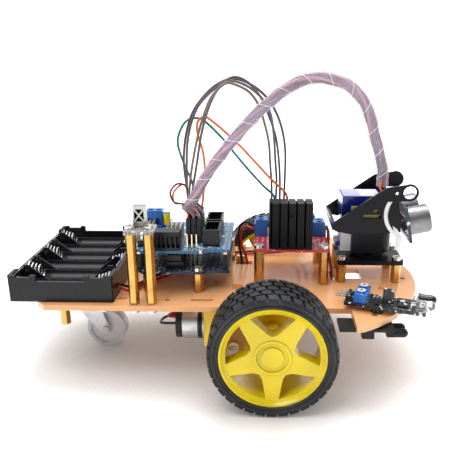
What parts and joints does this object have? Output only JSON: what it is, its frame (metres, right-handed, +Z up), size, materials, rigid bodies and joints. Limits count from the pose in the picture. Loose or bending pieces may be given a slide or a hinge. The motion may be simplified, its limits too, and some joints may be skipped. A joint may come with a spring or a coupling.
{
  "type": "two wheel robot car",
  "caption": "Small robot car kit: acrylic deck, yellow spoked wheels, rear caster, cell holder, stacked controller boards, motor driver and a distance sensor on a pan and tilt head.",
  "frame": {"origin": "on the ground, under the middle of the car's length, on its centre line", "axes": "+X forward (towards the sensor head), +Y to the car's left, +Z up"},
  "size_m": [0.2307, 0.1552, 0.1665],
  "materials": {
    "acrylic": "translucent peach acrylic, polished faces, frosted cut edges",
    "black_plastic": "moulded black plastic with a faint satin sheen",
    "gloss_black": "glossy black moulded plastic",
    "spring_steel": "bright nickel plated spring wire and plates",
    "brass": "turned brass, drawn hexagon flats",
    "screw_steel": "nickel plated screws and nuts",
    "navy_board": "dark navy solder mask",
    "shield_blue": "light blue solder mask with a green edge",
    "red_board": "red solder mask",
    "black_board": "black solder mask with white legend marks",
    "pale_board": "tinned pale board",
    "sonar_board": "dark blue solder mask",
    "port_metal": "pressed steel port shell",
    "pin_gold": "gold flashed square pins",
    "terminal_blue": "blue terminal block plastic",
    "white_plastic": "white nylon",
    "cage_steel": "tinned pressed steel",
    "sink_black": "black anodised extruded fins",
    "can_grey": "dark component bodies",
    "gear_yellow": "yellow gearbox plastic",
    "motor_steel": "drawn steel motor can",
    "steel": "zinc plated pressed steel",
    "lamp": "clear and dark epoxy lamps",
    "trimmer_blue": "blue trimmer body with a white dial",
    "sensor_dark": "dark board and sensor eyes",
    "tyre": "black rubber with a block tread",
    "rim_yellow": "bright yellow moulded rim",
    "horn_olive": "aged yellowish nylon horn",
    "shaft_white": "white nylon shaft",
    "caster_nylon": "translucent white nylon",
    "servo_blue": "translucent dark blue servo case",
    "aluminium": "anodised transducer cans with mesh fronts",
    "wrap": "clear spiral wrap over bundled wires",
    "wire_brown": "brown wire insulation",
    "wire_purple": "purple wire insulation",
    "wire_grey": "grey wire insulation",
    "wire_tan": "tan wire insulation",
    "wire_green": "green wire insulation",
    "wire_orange": "orange wire insulation",
    "wire_red": "red wire insulation",
    "wire_black": "black wire insulation"
  },
  "bodies": {
    "chassis": {"deck": "acrylic", "battery_holder": "black_plastic", "battery_contacts": "spring_steel", "controller_board": "navy_board", "controller_connectors": "port_metal", "controller_parts": "black_plastic", "short_standoffs": "brass", "driver_standoffs": "brass", "receiver_standoffs": "brass", "screws": "screw_steel", "shield_board": "shield_blue", "shield_pins": "pin_gold", "shield_headers": "black_plastic", "shield_terminal": "terminal_blue", "jumper_plugs": "black_plastic", "receiver_board": "pale_board", "receiver_cage": "cage_steel", "driver_board": "red_board", "heat_sink": "sink_black", "driver_parts": "can_grey", "driver_terminals": "terminal_blue", "pan_base": "gloss_black", "pan_horn": "gloss_black", "right_gear_case": "gear_yellow", "left_gear_case": "gear_yellow", "motor_cans": "motor_steel", "motor_brackets": "acrylic", "caster_plate": "steel", "obstacle_board": "black_board", "obstacle_leds": "lamp", "obstacle_trimmers": "trimmer_blue", "line_sensor": "sensor_dark", "cable_bundle": "wrap", "jumper_brown": "wire_brown", "jumper_purple": "wire_purple", "jumper_grey": "wire_grey", "jumper_white": "wire_tan", "jumper_green": "wire_green", "jumper_orange": "wire_orange", "driver_lead_red": "wire_red", "driver_lead_black": "wire_black", "battery_lead_red": "wire_red", "battery_lead_black": "wire_black"},
    "right_wheel": {"right_tyre": "tyre", "right_rim": "rim_yellow", "right_axle": "shaft_white"},
    "left_wheel": {"left_tyre": "tyre", "left_rim": "rim_yellow", "left_axle": "shaft_white"},
    "caster_swivel": {"caster_fork": "steel"},
    "caster_roller": {"caster_wheel": "caster_nylon"},
    "pan_head": {"servo_holder": "gloss_black", "pan_servo": "servo_blue", "tilt_servo": "servo_blue"},
    "tilt_head": {"tilt_bracket": "gloss_black", "tilt_horn": "horn_olive", "ultrasonic_board": "sonar_board", "ultrasonic_eyes": "aluminium", "cable_tie": "white_plastic"},
    "reset_plunger": {"reset_button": "white_plastic"}
  },
  "joints": [
    {"name": "right_wheel_spin", "type": "hinge", "parent": "chassis", "child": "right_wheel", "pos_m": [0.0269, 0, 0.033], "axis": [0, 1, 0], "continuous": true},
    {"name": "left_wheel_spin", "type": "hinge", "parent": "chassis", "child": "left_wheel", "pos_m": [0.0269, 0, 0.033], "axis": [0, 1, 0], "continuous": true},
    {"name": "caster_turn", "type": "hinge", "parent": "chassis", "child": "caster_swivel", "pos_m": [-0.0851, 0, 0.03], "axis": [0, 0, 1], "continuous": true},
    {"name": "caster_roll", "type": "hinge", "parent": "caster_swivel", "child": "caster_roller", "pos_m": [-0.0757, 0, 0.0125], "axis": [0, 1, 0], "continuous": true},
    {"name": "pan", "type": "hinge", "parent": "chassis", "child": "pan_head", "pos_m": [0.0835, 0, 0.062], "axis": [0, 0, 1], "range_deg": [-80, 80]},
    {"name": "tilt", "type": "hinge", "parent": "pan_head", "child": "tilt_head", "pos_m": [0.0835, 0, 0.0923], "axis": [0, 1, 0], "range_deg": [-4, 14]},
    {"name": "reset_press", "type": "slide", "parent": "chassis", "child": "reset_plunger", "axis": [0, 0, -1], "range_m": [0, 0.001], "stiffness_N_per_m": 400}
  ]
}
